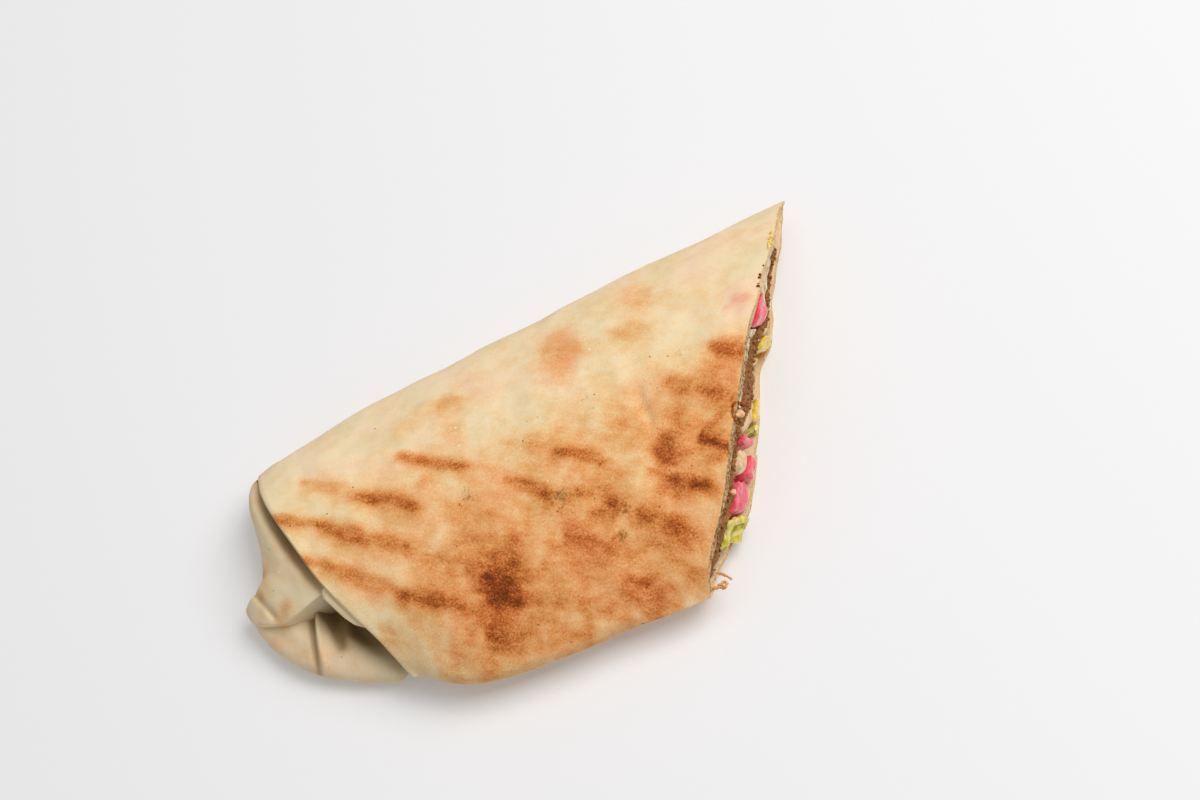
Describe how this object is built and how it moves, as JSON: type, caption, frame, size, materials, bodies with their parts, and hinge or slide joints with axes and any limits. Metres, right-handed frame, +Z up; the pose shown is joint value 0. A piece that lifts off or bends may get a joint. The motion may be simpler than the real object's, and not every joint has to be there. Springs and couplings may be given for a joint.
{
  "type": "falafel wrap half",
  "caption": "Half of a grill-pressed flatbread wrap, cut on the slant, with a tucked end and falafel, tahini sauce, pickles and lettuce in the cut.",
  "frame": {"origin": "middle of the footprint, on the surface that the wrap lies on", "axes": "+X along the roll from the folded end to the cut, +Y across it, +Z up"},
  "size_m": [0.1518, 0.0862, 0.0251],
  "materials": {
    "flatbread": "dry soft flatbread with grill browning",
    "falafel": "crumbly, matt",
    "tahini_sauce": "thick cream, half matt",
    "pickled_turnip": "wet pickle",
    "pickled_pepper": "wet pickle",
    "cabbage": "moist, half matt",
    "lettuce": "moist leaf, half matt"
  },
  "bodies": {
    "root": {"flatbread": "flatbread", "falafel": "falafel", "tahini_sauce_near": "tahini_sauce", "tahini_sauce_far": "tahini_sauce", "pickled_turnip_upper": "pickled_turnip", "pickled_turnip_middle": "pickled_turnip", "pickled_turnip_lower": "pickled_turnip", "pickled_turnip_floor": "pickled_turnip", "cabbage": "cabbage", "cabbage_middle": "cabbage", "pickled_pepper_middle": "pickled_pepper", "pickled_pepper_far": "pickled_pepper", "lettuce_near": "lettuce", "lettuce_inner": "lettuce", "lettuce_middle": "lettuce", "lettuce_far": "lettuce"}
  },
  "joints": []
}
